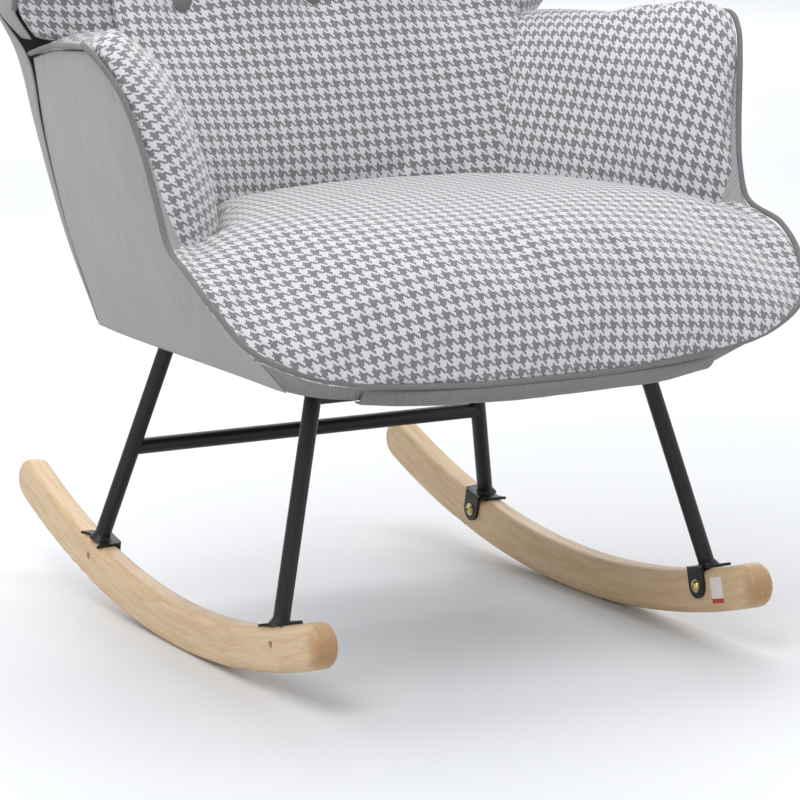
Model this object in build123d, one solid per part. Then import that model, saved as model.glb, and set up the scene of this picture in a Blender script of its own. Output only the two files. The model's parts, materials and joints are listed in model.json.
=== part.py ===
from build123d import *
import os
from math import asin, atan2, cos, degrees, hypot, pi, sin

# Upholstered wing-back rocking chair, in millimetres.
# The origin is on the floor, midway between the two points where the rockers touch it at rest.
# +Z is up, the sitter faces -Y, and the half that is written out is the one at +X.

# ---------------------------------------------------------------- driving dimensions

# Rockers: a bent wooden runner on a circular arc, toed out a little at the front.
ROCKER_RADIUS = 1035.0
ROCKER_DEPTH = 46.0
ROCKER_THICKNESS = 28.0
ROCKER_EDGE = 9.0
ROCKER_FRONT_ANGLE = 0.303
ROCKER_REAR_ANGLE = 0.396
ROCKER_HALF_SPACING = 243.7
ROCKER_TOE = 0.024

# Steel underframe.
TUBE_RADIUS = 8.5
TUBE_WALL = 1.5
FRONT_FOOT_Y = -224.3
REAR_FOOT_Y = 211.2
FRONT_LEG_SLOPE = (-0.268, 0.180)
REAR_LEG_SLOPE = (-0.251, -0.266)
CROSSBAR_Z = 173.0
TOP_RAIL_Z = 286.0
WELD_HEIGHT = 4.0
WELD_LEG = 2.5

# Saddle bracket between a leg and a rocker.
BRACKET_SHEET = 3.0
BRACKET_LENGTH = 42.0
EAR_WIDTH = 26.0
EAR_DROP = 27.0
ROCKER_BOLT_RADIUS = 3.0
ROCKER_BOLT_LENGTH = 24.0
BOLT_CLEARANCE = 0.4
INSERT_RADIUS = 5.0
INSERT_LENGTH = 15.0
BUTTON_HEAD_RADIUS = 5.6
BUTTON_HEAD_RIM = 0.6
BUTTON_HEAD_HEIGHT = 3.4
SOCKET_RADIUS = 2.0
WASHER_RADIUS = 7.0
WASHER_SHEET = 0.8

# Mounting plates under the seat frame.
PLATE_TOP_Z = 302.0
PLATE_SHEET = 4.0
PLATE_LENGTH = 72.0
PLATE_WIDTH = 38.0
SEAT_BOLT_SPACING = 52.0
SEAT_BOLT_RADIUS = 3.0
SEAT_BOLT_LENGTH = 40.0
SEAT_BOLT_HEAD_RADIUS = 5.0
SEAT_BOLT_HEAD_HEIGHT = 4.0

# Timber seat frame.
SHELL_BOTTOM_Z = 300.0
DUST_COVER_SHEET = 1.0
RAIL_BOTTOM_Z = 303.0
RAIL_HEIGHT = 57.0
RAIL_WIDTH = 42.0
REAR_RAIL_WIDTH = 24.0
SIDE_RAIL_X = 185.0
FRONT_RAIL_Y = -262.0
REAR_RAIL_Y = 185.0
WEBBING_WIDTH = 50.0
WEBBING_SHEET = 1.4
STRAP_PITCH_ACROSS = 68.0
STRAP_PITCH_ALONG = 76.0

# Upholstered body.
SKIN = 3.0
PIECE_GAP = 0.6
PIPING_RADIUS = 4.5
PLY = 12.0
BACK_SKIN = 2.0
BACK_CLEARANCE = 12.0

os.makedirs("parts", exist_ok=True)
nodes = {}


def both(name, part):
    """Keep the +X piece as NAME_right and its mirror image as NAME_left."""
    nodes[name + "_right"] = part
    nodes[name + "_left"] = mirror(part, about=Plane.YZ)


def group(parts):
    """Put separate solids in one node."""
    return Compound(children=list(parts))


def with_mirror(parts):
    """The given solids and their mirror images about the chair's middle plane."""
    return [*parts, *[mirror(part, about=Plane.YZ) for part in parts]]


# ---------------------------------------------------------------- faceted soft solids

def faceted(points, faces):
    """A closed solid from points and the corner numbers of each face."""
    shell = Shell([Face(Wire.make_polygon([points[i] for i in face])) for face in faces])
    solid = Solid(shell)
    return solid if solid.volume > 0 else -solid


def quads(rows, columns, wrap):
    """Two triangles for each cell of a grid of points numbered row by row."""
    faces = []
    for row in range(rows - 1):
        for column in range(columns if wrap else columns - 1):
            a = row * columns + column
            b = row * columns + (column + 1) % columns
            faces += [(a, b, b + columns), (a, b + columns, a + columns)]
    return faces


def stack(sections):
    """A solid through flat plan outlines, given as (height, [(x, y), ...])."""
    count = len(sections[0][1])
    points = [(x, y, z) for z, outline in sections for x, y in outline]
    last = (len(sections) - 1) * count
    caps = [tuple(range(count)), tuple(range(last, last + count))]
    return faceted(points, quads(len(sections), count, True) + caps)


def sheet(rows, inward, start=0.0, thickness=SKIN):
    """A panel that starts a distance inside a grid of points and runs inward for its thickness."""
    count = len(rows[0])

    def moved(distance):
        """All points, moved inward by a distance."""
        return [tuple(p + distance * d for p, d in zip(point, inward(point)))
                for row in rows for point in row]

    outer, inner = moved(start), moved(start + thickness)
    total = len(outer)
    faces = quads(len(rows), count, False)
    faces += [tuple(i + total for i in face) for face in faces]
    rim = list(range(count))
    rim += [row * count + count - 1 for row in range(1, len(rows))]
    rim += [(len(rows) - 1) * count + column for column in range(count - 2, -1, -1)]
    rim += [row * count for row in range(len(rows) - 2, 0, -1)]
    for a, b in zip(rim, rim[1:] + rim[:1]):
        faces += [(a, b, b + total), (a, b + total, a + total)]
    return faceted(outer + inner, faces)


def mirrored_outline(half):
    """A whole plan outline from its +X half, which runs from the middle line round to it."""
    return half + [(-x, y) for x, y in reversed(half) if abs(x) > 0.01]


def inward_plan(point):
    """Unit direction in plan from a point of the body towards its middle."""
    x, y, _ = point
    length = hypot(x, y + 20.0)
    return (-x / length, -(y + 20.0) / length, 0.0)


# ---------------------------------------------------------------- rockers

def rocker_place(y):
    """Frame on a rocker's top surface: x across it, y along it, z away from it."""
    top_radius = ROCKER_RADIUS - ROCKER_DEPTH
    angle = asin(y / top_radius)
    centre = Vector(ROCKER_HALF_SPACING - ROCKER_TOE * y, y, ROCKER_RADIUS - top_radius * cos(angle))
    toe = Rotation(0, 0, degrees(ROCKER_TOE))
    return Location(centre) * toe * Rotation(degrees(angle), 0, 0)


def rocker_blank():
    """The bent runner with rounded ends and edges, in its own upright plane."""
    def at(radius, angle):
        """A point by its radius and its angle from straight down."""
        return (radius * sin(angle), ROCKER_RADIUS - radius * cos(angle))

    front, rear = -ROCKER_FRONT_ANGLE, ROCKER_REAR_ANGLE
    inner = ROCKER_RADIUS - ROCKER_DEPTH
    middle = ROCKER_RADIUS - ROCKER_DEPTH / 2
    cap = ROCKER_DEPTH / 2 / middle
    with BuildPart() as runner:
        with BuildSketch(Plane.YZ):
            with BuildLine():
                ThreePointArc(at(ROCKER_RADIUS, front), at(ROCKER_RADIUS, 0), at(ROCKER_RADIUS, rear))
                ThreePointArc(at(ROCKER_RADIUS, rear), at(middle, rear + cap), at(inner, rear))
                ThreePointArc(at(inner, rear), at(inner, 0), at(inner, front))
                ThreePointArc(at(inner, front), at(middle, front - cap), at(ROCKER_RADIUS, front))
            make_face()
        extrude(amount=ROCKER_THICKNESS / 2, both=True)
        fillet(runner.faces().filter_by(Axis.X).edges(), ROCKER_EDGE)
    return Location((ROCKER_HALF_SPACING, 0, 0)) * Rotation(0, 0, degrees(ROCKER_TOE)) * runner.part


# The bolt is at the centre of the ear's round end.
BOLT_BELOW_TOP = EAR_DROP - EAR_WIDTH / 2 + BRACKET_SHEET
INNER_FACE = -ROCKER_THICKNESS / 2


def across(place, radius, start, end):
    """A cylinder along the rocker's x axis at bolt height, between two x positions."""
    turned = Location((start, 0, -BOLT_BELOW_TOP)) * Rotation(0, 90, 0)
    bar = Cylinder(radius, end - start, align=(Align.CENTER, Align.CENTER, Align.MIN))
    return place * turned * bar


def rocker(places):
    """Runner with a blind insert pocket and a sight hole at each bolt."""
    part = rocker_blank()
    for place in places:
        part -= across(place, INSERT_RADIUS, INNER_FACE - 1, INNER_FACE + INSERT_LENGTH + 0.5)
        part -= across(place, ROCKER_BOLT_RADIUS + 1.0, INNER_FACE, -INNER_FACE + 1)
    return part


# ---------------------------------------------------------------- saddle brackets

EAR_GAP = 0.3
PLATE_LIFT = 0.35


def bracket(place):
    """Folded saddle: a plate with pointed corners on the rocker, and one ear down its inner face."""
    half_across = ROCKER_THICKNESS / 2
    half_along = BRACKET_LENGTH / 2
    waist = EAR_WIDTH / 2 + 2
    outline = [(half_across + 1, -half_along), (half_across - 6, -waist), (half_across - 6, waist),
               (half_across + 1, half_along), (-half_across, half_along - 3), (-half_across, 3 - half_along)]
    with BuildPart() as plate:
        with BuildSketch(Plane.XY.offset(PLATE_LIFT)):
            with BuildLine():
                Polyline(*outline, close=True)
            make_face()
        extrude(amount=BRACKET_SHEET)
    top = PLATE_LIFT + BRACKET_SHEET
    ear_plane = Plane(origin=(INNER_FACE - EAR_GAP, 0, 0), x_dir=(0, -1, 0), z_dir=(-1, 0, 0))
    with BuildPart() as ear:
        with BuildSketch(ear_plane):
            with Locations((0, -BOLT_BELOW_TOP)):
                Circle(EAR_WIDTH / 2)
            with Locations((0, (top - BOLT_BELOW_TOP) / 2)):
                Rectangle(EAR_WIDTH, BOLT_BELOW_TOP + top)
            with Locations((0, -BOLT_BELOW_TOP)):
                Circle(ROCKER_BOLT_RADIUS + BOLT_CLEARANCE, mode=Mode.SUBTRACT)
        extrude(amount=BRACKET_SHEET)
    bend = Location((INNER_FACE, 0, PLATE_LIFT + BRACKET_SHEET / 2)) * Box(
        2 * EAR_GAP + 0.4, EAR_WIDTH, BRACKET_SHEET)
    folded = plate.part + ear.part + bend
    bend_corner = (INNER_FACE - EAR_GAP - BRACKET_SHEET, 0, top)
    corner = folded.edges().filter_by(Axis.Y).sort_by_distance(bend_corner)[0]
    return place * fillet(corner, BRACKET_SHEET * 0.8)


def button_bolt(place):
    """Button-head bolt with a hexagon socket, through the ear into the insert."""
    seat_x = INNER_FACE - EAR_GAP - BRACKET_SHEET - 1.0
    shank = across(place, ROCKER_BOLT_RADIUS, seat_x, seat_x + ROCKER_BOLT_LENGTH)
    with BuildPart() as head:
        with BuildSketch(Plane.XZ):
            with BuildLine():
                Line((0, 0), (BUTTON_HEAD_RADIUS, 0))
                Line((BUTTON_HEAD_RADIUS, 0), (BUTTON_HEAD_RADIUS, BUTTON_HEAD_RIM))
                ThreePointArc((BUTTON_HEAD_RADIUS, BUTTON_HEAD_RIM), (3.6, 2.7), (0, BUTTON_HEAD_HEIGHT))
                Line((0, BUTTON_HEAD_HEIGHT), (0, 0))
            make_face()
        revolve(axis=Axis.Z)
        with BuildSketch(Plane.XY.offset(1.4)):
            RegularPolygon(SOCKET_RADIUS, 6, major_radius=False)
        extrude(amount=4, mode=Mode.SUBTRACT)
    turned = Location((seat_x, 0, -BOLT_BELOW_TOP)) * Rotation(0, -90, 0)
    return shank + place * turned * head.part


def washer(place):
    """Flat washer between the bolt's head and the ear."""
    ring = Cylinder(WASHER_RADIUS, WASHER_SHEET) - Cylinder(ROCKER_BOLT_RADIUS + 0.2, 2)
    turned = Location((INNER_FACE - EAR_GAP - BRACKET_SHEET - 0.5, 0, -BOLT_BELOW_TOP)) * Rotation(0, 90, 0)
    return place * turned * ring


def insert_nut(place):
    """Threaded insert in the rocker."""
    outside = across(place, INSERT_RADIUS - 0.05, INNER_FACE + 0.2, INNER_FACE + INSERT_LENGTH)
    return outside - across(place, ROCKER_BOLT_RADIUS + 0.05, INNER_FACE - 1, INNER_FACE + INSERT_LENGTH + 1)


# ---------------------------------------------------------------- legs and cross tubes

class Leg:
    """A straight tube from a bracket plate up to a mounting plate."""

    def __init__(self, foot_y, slope):
        self.place = rocker_place(foot_y)
        foot = (self.place * Location((0, 0, PLATE_LIFT + BRACKET_SHEET))).position
        self.foot = foot
        self.axis = Vector(slope[0], slope[1], 1).normalized()

    def at(self, z):
        """Point on the tube's centre line at a height."""
        return self.foot + self.axis * ((z - self.foot.Z) / self.axis.Z)

    def bar(self, radius):
        """A solid bar along the leg that runs past both of its ends."""
        start = self.foot - self.axis * 30
        plane = Plane(origin=start, z_dir=self.axis)
        return plane.location * Cylinder(radius, 330, align=(Align.CENTER, Align.CENTER, Align.MIN))

    def trim(self, part):
        """Cut a part off at the bracket's plate and at the mounting plate."""
        cut = self.place * Location((0, 0, PLATE_LIFT + BRACKET_SHEET))
        part = split(part, bisect_by=Plane(cut), keep=Keep.TOP)
        return split(part, bisect_by=Plane.XY.offset(PLATE_TOP_Z - PLATE_SHEET), keep=Keep.BOTTOM)

    def tube(self):
        """The tube with its weld bead at the foot."""
        base = Plane(origin=self.foot - self.axis * 6, z_dir=self.axis)
        height = 6 + WELD_HEIGHT
        foot_radius = TUBE_RADIUS + WELD_LEG * height / WELD_HEIGHT
        bead = base.location * Cone(foot_radius, TUBE_RADIUS, height,
                                    align=(Align.CENTER, Align.CENTER, Align.MIN))
        return self.trim(self.bar(TUBE_RADIUS) + bead - self.bar(TUBE_RADIUS - TUBE_WALL))


def cross_tube(leg, z, radius):
    """A tube from one leg of a pair across to its mirror image, coped to both."""
    end = leg.at(z)
    place = Location((0, end.Y, z)) * Rotation(0, 90, 0)
    tube = place * (Cylinder(radius, 2 * end.X) - Cylinder(radius - TUBE_WALL, 2 * end.X + 2))
    bar = leg.bar(TUBE_RADIUS)
    tube = tube - bar - mirror(bar, about=Plane.YZ)
    return tube.solids().sort_by(SortBy.VOLUME)[-1]


front_leg = Leg(FRONT_FOOT_Y, FRONT_LEG_SLOPE)
rear_leg = Leg(REAR_FOOT_Y, REAR_LEG_SLOPE)
legs = [front_leg, rear_leg]

both("rocker", rocker([leg.place for leg in legs]))
both("front_leg", front_leg.tube())
both("rear_leg", rear_leg.tube())
both("front_bracket", bracket(front_leg.place))
both("rear_bracket", bracket(rear_leg.place))
nodes["rear_crossbar"] = cross_tube(rear_leg, CROSSBAR_Z, TUBE_RADIUS)
nodes["front_top_rail"] = cross_tube(front_leg, TOP_RAIL_Z, TUBE_RADIUS - 1)
nodes["rear_top_rail"] = cross_tube(rear_leg, TOP_RAIL_Z, TUBE_RADIUS - 1)
nodes["rocker_bolts"] = group(with_mirror([button_bolt(leg.place) for leg in legs]))
nodes["rocker_washers"] = group(with_mirror([washer(leg.place) for leg in legs]))
nodes["rocker_insert_nuts"] = group(with_mirror([insert_nut(leg.place) for leg in legs]))

# ---------------------------------------------------------------- mounting plates and seat frame


def seat_bolt_places():
    """Where the +X plates are bolted up into the side rail."""
    for leg in legs:
        top = leg.at(PLATE_TOP_Z)
        for step in (-0.5, 0.5):
            yield (SIDE_RAIL_X, top.Y + step * SEAT_BOLT_SPACING)


def mounting_plate(leg):
    """Flat plate with rounded corners on top of a leg."""
    y = leg.at(PLATE_TOP_Z).Y
    with BuildPart() as plate:
        with BuildSketch(Plane.XY.offset(PLATE_TOP_Z - PLATE_SHEET)):
            with Locations((SIDE_RAIL_X, y)):
                RectangleRounded(PLATE_WIDTH, PLATE_LENGTH, 6)
                with GridLocations(0, SEAT_BOLT_SPACING, 1, 2):
                    Circle(SEAT_BOLT_RADIUS + BOLT_CLEARANCE, mode=Mode.SUBTRACT)
        extrude(amount=PLATE_SHEET)
    return plate.part


def upright(x, y, radius, low, high):
    """A cylinder along +Z between two heights."""
    bar = Cylinder(radius, high - low, align=(Align.CENTER, Align.CENTER, Align.MIN))
    return Location((x, y, low)) * bar


def seat_bolt(x, y):
    """Hexagon bolt, head under the plate."""
    low = PLATE_TOP_Z - PLATE_SHEET
    with BuildPart() as head:
        with BuildSketch(Plane.XY.offset(low)):
            with Locations((x, y)):
                RegularPolygon(SEAT_BOLT_HEAD_RADIUS, 6, major_radius=False)
        extrude(amount=-SEAT_BOLT_HEAD_HEIGHT)
    return head.part + upright(x, y, SEAT_BOLT_RADIUS, low, low + SEAT_BOLT_LENGTH)


def timber(x, y, width, length):
    """A seat rail, centred on x and y."""
    place = Location((x, y, RAIL_BOTTOM_Z + RAIL_HEIGHT / 2))
    return place * Box(width, length, RAIL_HEIGHT)


side_length = REAR_RAIL_Y - FRONT_RAIL_Y + RAIL_WIDTH
side_middle = (REAR_RAIL_Y + FRONT_RAIL_Y) / 2
side_rail = timber(SIDE_RAIL_X, side_middle, RAIL_WIDTH, side_length)
hole_top_z = RAIL_BOTTOM_Z + RAIL_HEIGHT - 12
for bolt_x, bolt_y in seat_bolt_places():
    side_rail -= upright(bolt_x, bolt_y, SEAT_BOLT_RADIUS + 0.1, RAIL_BOTTOM_Z - 1, hole_top_z)
both("seat_side_rail", side_rail)
cross_width = 2 * SIDE_RAIL_X - RAIL_WIDTH - 2 * PIECE_GAP
nodes["seat_front_rail"] = timber(0, FRONT_RAIL_Y, cross_width, RAIL_WIDTH)
nodes["seat_rear_rail"] = timber(0, REAR_RAIL_Y, cross_width, REAR_RAIL_WIDTH)
nodes["mounting_plates"] = group(with_mirror([mounting_plate(leg) for leg in legs]))
nodes["seat_bolts"] = group(with_mirror([seat_bolt(x, y) for x, y in seat_bolt_places()]))

webbing_z = RAIL_BOTTOM_Z + RAIL_HEIGHT
straps = []
for step in (-2, -1, 0, 1, 2):
    place = Location((step * STRAP_PITCH_ACROSS, side_middle, webbing_z + WEBBING_SHEET / 2))
    straps.append(place * Box(WEBBING_WIDTH, side_length - 10, WEBBING_SHEET))
for step in (-2, -1, 0, 1, 2):
    place = Location((0, side_middle + step * STRAP_PITCH_ALONG, webbing_z + 1.6 * WEBBING_SHEET + 0.1))
    straps.append(place * Box(2 * SIDE_RAIL_X + RAIL_WIDTH - 10, WEBBING_WIDTH, WEBBING_SHEET * 0.9))
nodes["seat_webbing"] = group(straps)
webbing_top = webbing_z + 2.2 * WEBBING_SHEET

# ---------------------------------------------------------------- lines that shape the body

# Top edge of the grey outer skin, where the piping runs: up the arm from its rear end,
# down the arm's front edge, and round the front of the seat to the middle.
ARM_TOP_LINE = [(300, 232, 592), (312, 158, 606), (334, 75, 615), (355, -20, 623), (374, -67, 627)]
ARM_FRONT_LINE = [(369, -85, 615), (357, -107, 586), (348, -120, 552), (341, -130, 517),
                  (336, -140, 481), (334, -156, 446)]
SEAT_LINE = [(340, -212, 424), (334, -254, 396), (311, -290, 357), (267, -306, 335),
             (211, -310, 321), (110, -317, 312), (0, -320, 310)]
# Bottom edge of the same skin, one point for each point above.
BOTTOM_LINE = [(236, 215), (241, 150), (243, 75), (243, -5), (243, -45),
               (243, -75), (243, -100), (243, -125), (243, -150), (243, -175), (243, -200),
               (242, -228), (236, -250), (222, -272), (200, -287), (170, -296), (95, -306), (0, -310)]

piping_line = ARM_TOP_LINE + ARM_FRONT_LINE + SEAT_LINE
bottom_line = [(x, y, SHELL_BOTTOM_Z) for x, y in BOTTOM_LINE]


def between(a, b, t, bulge=0.0):
    """A point part way from a to b, pushed outward in plan by bulge."""
    point = [p + (q - p) * t for p, q in zip(a, b)]
    inward = inward_plan(point)
    return tuple(p - bulge * d for p, d in zip(point, inward))


def skin_rows(start, stop):
    """Rows of the outer skin from the bottom line up to the piping line."""
    rows = []
    for t, bulge in ((0.0, 0.0), (0.3, 9.0), (0.65, 10.0), (1.0, 0.0)):
        rows.append([between(a, b, t, bulge * (b[2] - a[2]) / 300)
                     for a, b in zip(bottom_line[start:stop], piping_line[start:stop])])
    return rows


def section_at(z, start, stop, inset):
    """Plan points on the outer skin at height z, moved in from it."""
    points = []
    for a, b in zip(bottom_line[start:stop], piping_line[start:stop]):
        t = min((z - a[2]) / (b[2] - a[2]), 1.0)
        point = between(a, b, t)
        inward = inward_plan(point)
        points.append((point[0] + inset * inward[0], point[1] + inset * inward[1]))
    return points


# The body's outline behind the arms: rear corner of the side skin, and the back's lean.
BACK_BOTTOM_Y = 215.0
BACK_LEAN = 0.166


def rear_y(z):
    """Rear face of the back at a height."""
    return BACK_BOTTOM_Y + BACK_LEAN * (z - 305.0)


# ---------------------------------------------------------------- seat

ARM_FRAME_SHEET = 12.0
ARM_PAD_INSET = SKIN + ARM_FRAME_SHEET + 4.0
SEAT_BACK = [(0, 96), (90, 87), (172, 57)]
SEAT_ARM_SEAM = (268, -114)

SEAT_SIDE_EASE = 0.997
seat_levels = []
for z, inset in ((webbing_top + PIECE_GAP, 12.0), (392.0, 10.8), (418.0, 10.8)):
    side = section_at(min(z, 446.0), 10, 18, inset)
    side = [(x * SEAT_SIDE_EASE, min(y, -158.0)) for x, y in side]
    seat_levels.append((z, mirrored_outline(SEAT_BACK + [SEAT_ARM_SEAM] + side)))
top_side = [(325, -158), (324, -204), (310, -246), (286, -276), (250, -294), (192, -303), (100, -308),
            (0, -310)]
seat_levels.append((436.0, mirrored_outline(SEAT_BACK + [SEAT_ARM_SEAM] + top_side)))
crown_side = [(272, -140), (270, -168), (258, -204), (236, -230), (200, -244), (150, -250), (80, -254),
              (0, -256)]
crown_back = [(0, 70), (80, 64), (150, 45), (228, -100)]
seat_levels.append((452.0, mirrored_outline(crown_back + crown_side)))
nodes["seat_cushion"] = stack(seat_levels)

roll_back = FRONT_RAIL_Y - RAIL_WIDTH / 2 - PIECE_GAP
low_roll = [(0, roll_back), (160, roll_back), (163, -286), (150, -291), (92, -298), (0, -302)]
high_roll = [(0, roll_back), (225, roll_back), (228, -290), (200, -299), (108, -306), (0, -309)]
nodes["front_edge_roll"] = stack([(RAIL_BOTTOM_Z + 4, mirrored_outline(low_roll)),
                                  (RAIL_BOTTOM_Z + RAIL_HEIGHT - 2, mirrored_outline(high_roll))])

# ---------------------------------------------------------------- arms

# Inner face of an arm at a few heights: where it meets the back pad, and its front corner.
ARM_INNER = {webbing_top: ((174.5, 57), (271, -115)), 446.0: ((174.5, 57), (271, -115)),
             560.0: ((208, 100), (296, -92)), 606.0: ((232, 128), (316, -74))}
ARM_TOP_Z = 634.0
ARM_TOP_OUTLINE = [(252, 146), (328, -52), (346, -54), (340, -36), (334, 0), (316, 76), (290, 148)]
arm_sections = []
for z, (rear_inner, front_inner) in ARM_INNER.items():
    outer = section_at(min(z, 585.0), 0, 10, ARM_PAD_INSET)
    outer = [outer[i] for i in (9, 6, 4, 2, 1)]
    arm_sections.append((z, [rear_inner, front_inner] + outer))
arm_sections.append((ARM_TOP_Z, ARM_TOP_OUTLINE))
both("arm_pad", stack(arm_sections))

# ---------------------------------------------------------------- back and wings

# Half outlines of the back pad: middle, a quarter out, and its front edge beside the arm or wing.
BACK_FRONT = {webbing_top: ((0, 98), (92, 89), (173.5, 60)), 443.0: ((0, 98), (92, 89), (173.5, 60)),
              560.0: ((0, 135), (110, 128), (205, 103)), 610.0: ((0, 152), (120, 148), (228, 138)),
              700.0: ((0, 184), (120, 180), (228, 176)), 800.0: ((0, 219), (115, 217), (222, 215)),
              900.0: ((0, 254), (105, 254), (205, 254)), 950.0: ((0, 276), (90, 276), (170, 278))}
BACK_PAD_DEPTH = 42.0
back_sections = []
for z, front in BACK_FRONT.items():
    back_y = rear_y(z) - SKIN - PLY - BACK_CLEARANCE
    corner_x = front[2][0] + (4 if z < 600 else 0)
    outline = list(front) + [(corner_x, min(front[2][1] + BACK_PAD_DEPTH, back_y)),
                             (0, min(front[0][1] + BACK_PAD_DEPTH, back_y))]
    back_sections.append((z, mirrored_outline(outline)))
nodes["back_cushion"] = stack(back_sections)

# Wing at a few heights: its inner edge beside the back pad, then its front tip.
WING = {612.0: (229.5, 150, 300, 226), 640.0: (229.5, 160, 326, 212), 700.0: (229.5, 178, 337, 172),
        760.0: (227, 198, 341, 150), 830.0: (220, 228, 338, 168), 900.0: (207, 256, 312, 222),
        945.0: (176, 276, 262, 268)}
WING_PAD_DEPTH = 40.0
wing_sections = []
for z, (inner_x, inner_y, tip_x, tip_y) in WING.items():
    back_y = rear_y(z) - SKIN - PLY - BACK_CLEARANCE
    middle = ((inner_x + tip_x) / 2, min((inner_y + tip_y) / 2 + WING_PAD_DEPTH, back_y))
    outline = [(inner_x, inner_y), (tip_x - 30, tip_y - 6), (tip_x - 6, tip_y + 6),
               (tip_x - 8, tip_y + 30), middle, (inner_x, min(inner_y + WING_PAD_DEPTH, back_y))]
    wing_sections.append((z, outline))
both("wing_pad", stack(wing_sections))

# ---------------------------------------------------------------- outer skins and trim

# The side skins end and the front band starts at this point of the body lines.
FRONT_SEAM = 11
both("side_shell", sheet(skin_rows(0, FRONT_SEAM + 1), inward_plan))
band_half = [[between(row[0], row[1], 0.04)] + row[1:] for row in skin_rows(FRONT_SEAM, 18)]
band_rows = [row + [(-x, y, z) for x, y, z in reversed(row[:-1])] for row in band_half]
nodes["front_band"] = sheet(band_rows, inward_plan)
both("arm_frame", sheet(skin_rows(1, 7)[1:3], inward_plan, SKIN + 1.0, ARM_FRAME_SHEET))

BACK_HALF_WIDTHS = ((305.0, 232), (450.0, 258), (592.0, 290), (640.0, 326), (700.0, 336),
                    (800.0, 338), (880.0, 322), (930.0, 282), (960.0, 205))
back_rows = []
for z, half in BACK_HALF_WIDTHS:
    lean = rear_y(z)
    back_rows.append([(half * step / 3, lean + 10 - 10 * (abs(step) / 3) ** 2, z) for step in range(-3, 4)])


def forward(_):
    """The direction in which the rear skin thickens."""
    return (0.0, -1.0, 0.0)


nodes["back_shell"] = sheet(back_rows, forward, 0.0, BACK_SKIN)

wing_skin = []
for z, (_, _, tip_x, tip_y) in WING.items():
    rear = rear_y(z)
    wing_skin.append([(tip_x, tip_y, z), (tip_x + 2, (tip_y + rear) / 2, z), (tip_x - 3, rear - 6, z)])
both("wing_shell", sheet(wing_skin, lambda _: (-1.0, 0.0, 0.0)))


def leaning_board(outline, low_z, sheet_thickness, ahead):
    """A board with an XZ outline that follows the lean of the back."""
    angle = degrees(atan2(BACK_LEAN, 1))
    with BuildPart() as board:
        with BuildSketch(Plane.XZ):
            with BuildLine():
                Polyline(*outline, close=True)
            make_face()
        extrude(amount=sheet_thickness)
    place = Location((0, rear_y(low_z) - ahead, low_z)) * Rotation(-angle, 0, 0)
    return place * board.part


# Ply ring inside the back.
ring = mirrored_outline([(0, 0), (205, 0), (226, 300), (250, 420), (246, 560), (170, 590), (0, 596)])
opening = mirrored_outline([(0, 50), (158, 50), (176, 300), (190, 420), (184, 520), (130, 546), (0, 550)])
back_frame = leaning_board(ring, 364.0, PLY, 9.0) - leaning_board(opening, 364.0, PLY * 3, 9.0 - PLY)
nodes["back_frame"] = back_frame.solids().sort_by(SortBy.VOLUME)[-1]


def cord(points, radius):
    """Piping: a six-sided cord through points, closed at its ends."""
    ring_points = []
    count = len(points)
    for i, point in enumerate(points):
        ahead = Vector(points[min(i + 1, count - 1)]) - Vector(points[max(i - 1, 0)])
        ahead = ahead.normalized()
        side = Vector(0, 0, 1).cross(ahead)
        side = side.normalized() if side.length > 0.05 else Vector(1, 0, 0)
        rise = ahead.cross(side)
        for k in range(6):
            offset = side * (radius * cos(pi * k / 3)) + rise * (radius * sin(pi * k / 3))
            ring_points.append(tuple(Vector(point) + offset))
    last = 6 * (count - 1)
    caps = []
    for base in (0, last):
        caps += [(base, base + k, base + k + 1) for k in range(1, 5)]
    return faceted(ring_points, quads(count, 6, True) + caps)


def mirrored_path(half):
    """A whole path from its +X half, which ends on the middle plane."""
    return half + [(-x, y, z) for x, y, z in reversed(half[:-1])]


PIPING_RISE = 5.2
raised = []
for x, y, z in piping_line:
    inward = inward_plan((x, y, z))
    raised.append((x - inward[0] * PIPING_RADIUS, y - inward[1] * PIPING_RADIUS, z + PIPING_RISE))
nodes["arm_and_seat_piping"] = cord(mirrored_path(raised), PIPING_RADIUS)

# The second cord runs up each wing's front edge and over the top of the back.
WING_PIPING_AHEAD = 12.0
WING_PIPING_OUT = 3.0
BACK_PIPING_TOP = [(232, 296, 954), (190, 310, 957), (100, 313, 957), (0, 314, 957)]
wing_edge = []
for z, (_, _, tip_x, tip_y) in list(WING.items())[1:]:
    wing_edge.append((tip_x + WING_PIPING_OUT, tip_y - WING_PIPING_AHEAD, z))
nodes["back_piping"] = cord(mirrored_path(wing_edge + BACK_PIPING_TOP), PIPING_RADIUS)

# A folded fabric strip that hangs just below the front of the outer skin.
FLAP_REACH = 203.0
FLAP_TOP_Z = SHELL_BOTTOM_Z - 0.6
FLAP_DROP = 6.0
FLAP_SAG = 3.0
flap_rows = []
for drop in (FLAP_DROP, 0.0):
    row = []
    for x, y in ((FLAP_REACH, -286), (150, -299), (75, -306), (0, -309)):
        sag = FLAP_SAG * drop / FLAP_DROP * (1 - x / FLAP_REACH)
        row.append((x, y, FLAP_TOP_Z - drop - sag))
    flap_rows.append(row + [(-x, y, z) for x, y, z in reversed(row[:-1])])
nodes["front_flap"] = sheet(flap_rows, inward_plan)

dust_cover = Location((0, side_middle, RAIL_BOTTOM_Z - DUST_COVER_SHEET / 2)) * Box(
    2 * SIDE_RAIL_X + RAIL_WIDTH - 4, side_length - 4, DUST_COVER_SHEET * 0.9)
for bolt_x, bolt_y in seat_bolt_places():
    for side in (-1, 1):
        hole = upright(side * bolt_x, bolt_y, SEAT_BOLT_RADIUS + 0.5, RAIL_BOTTOM_Z - 3, RAIL_BOTTOM_Z + 3)
        dust_cover -= hole
nodes["dust_cover"] = dust_cover

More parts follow.
